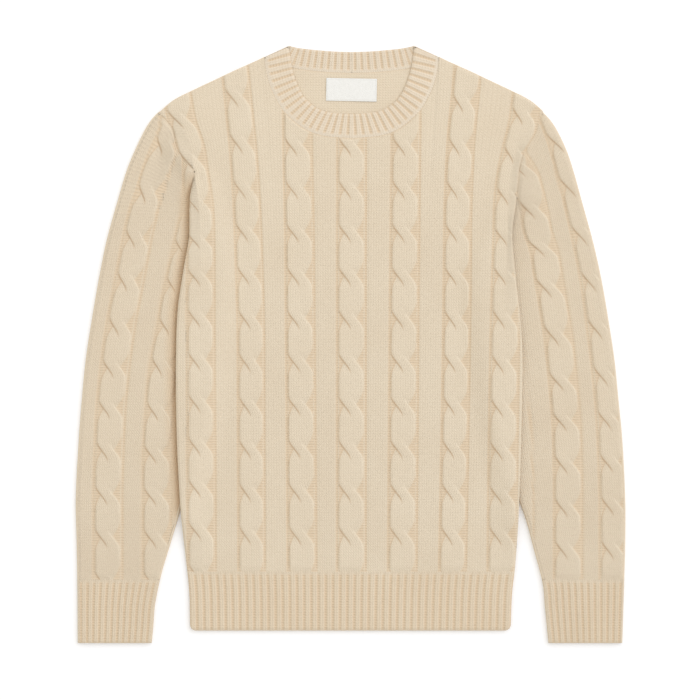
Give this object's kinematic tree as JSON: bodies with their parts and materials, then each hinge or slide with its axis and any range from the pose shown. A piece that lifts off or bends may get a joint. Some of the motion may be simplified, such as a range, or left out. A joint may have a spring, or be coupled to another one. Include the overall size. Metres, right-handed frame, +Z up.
{
  "type": "cable knit crew-neck sweater laid flat",
  "caption": "Long-sleeved crew-neck sweater in rope cables with ribbed neck, cuffs and hem, laid flat front up, its sides over its sleeves.",
  "frame": {"origin": "centre of the bounding box's bottom face: on the surface that the garment lies on, under its middle", "axes": "+Z up from the surface, +Y up the garment towards the neck, +X towards the wearer's left sleeve"},
  "size_m": [0.6394, 0.6944, 0.0135],
  "materials": {
    "knit": "soft matte oatmeal wool knit, rope cables",
    "rib": "soft matte oatmeal wool knit, ribbed",
    "label": "blank off-white woven tape"
  },
  "bodies": {
    "root": {"back_panel": "knit", "front_panel": "knit", "right_sleeve": "knit", "left_sleeve": "knit", "right_cuff": "rib", "left_cuff": "rib", "front_hem_rib": "rib", "back_hem_rib": "rib", "neckband": "rib", "neck_label": "label"}
  },
  "joints": []
}
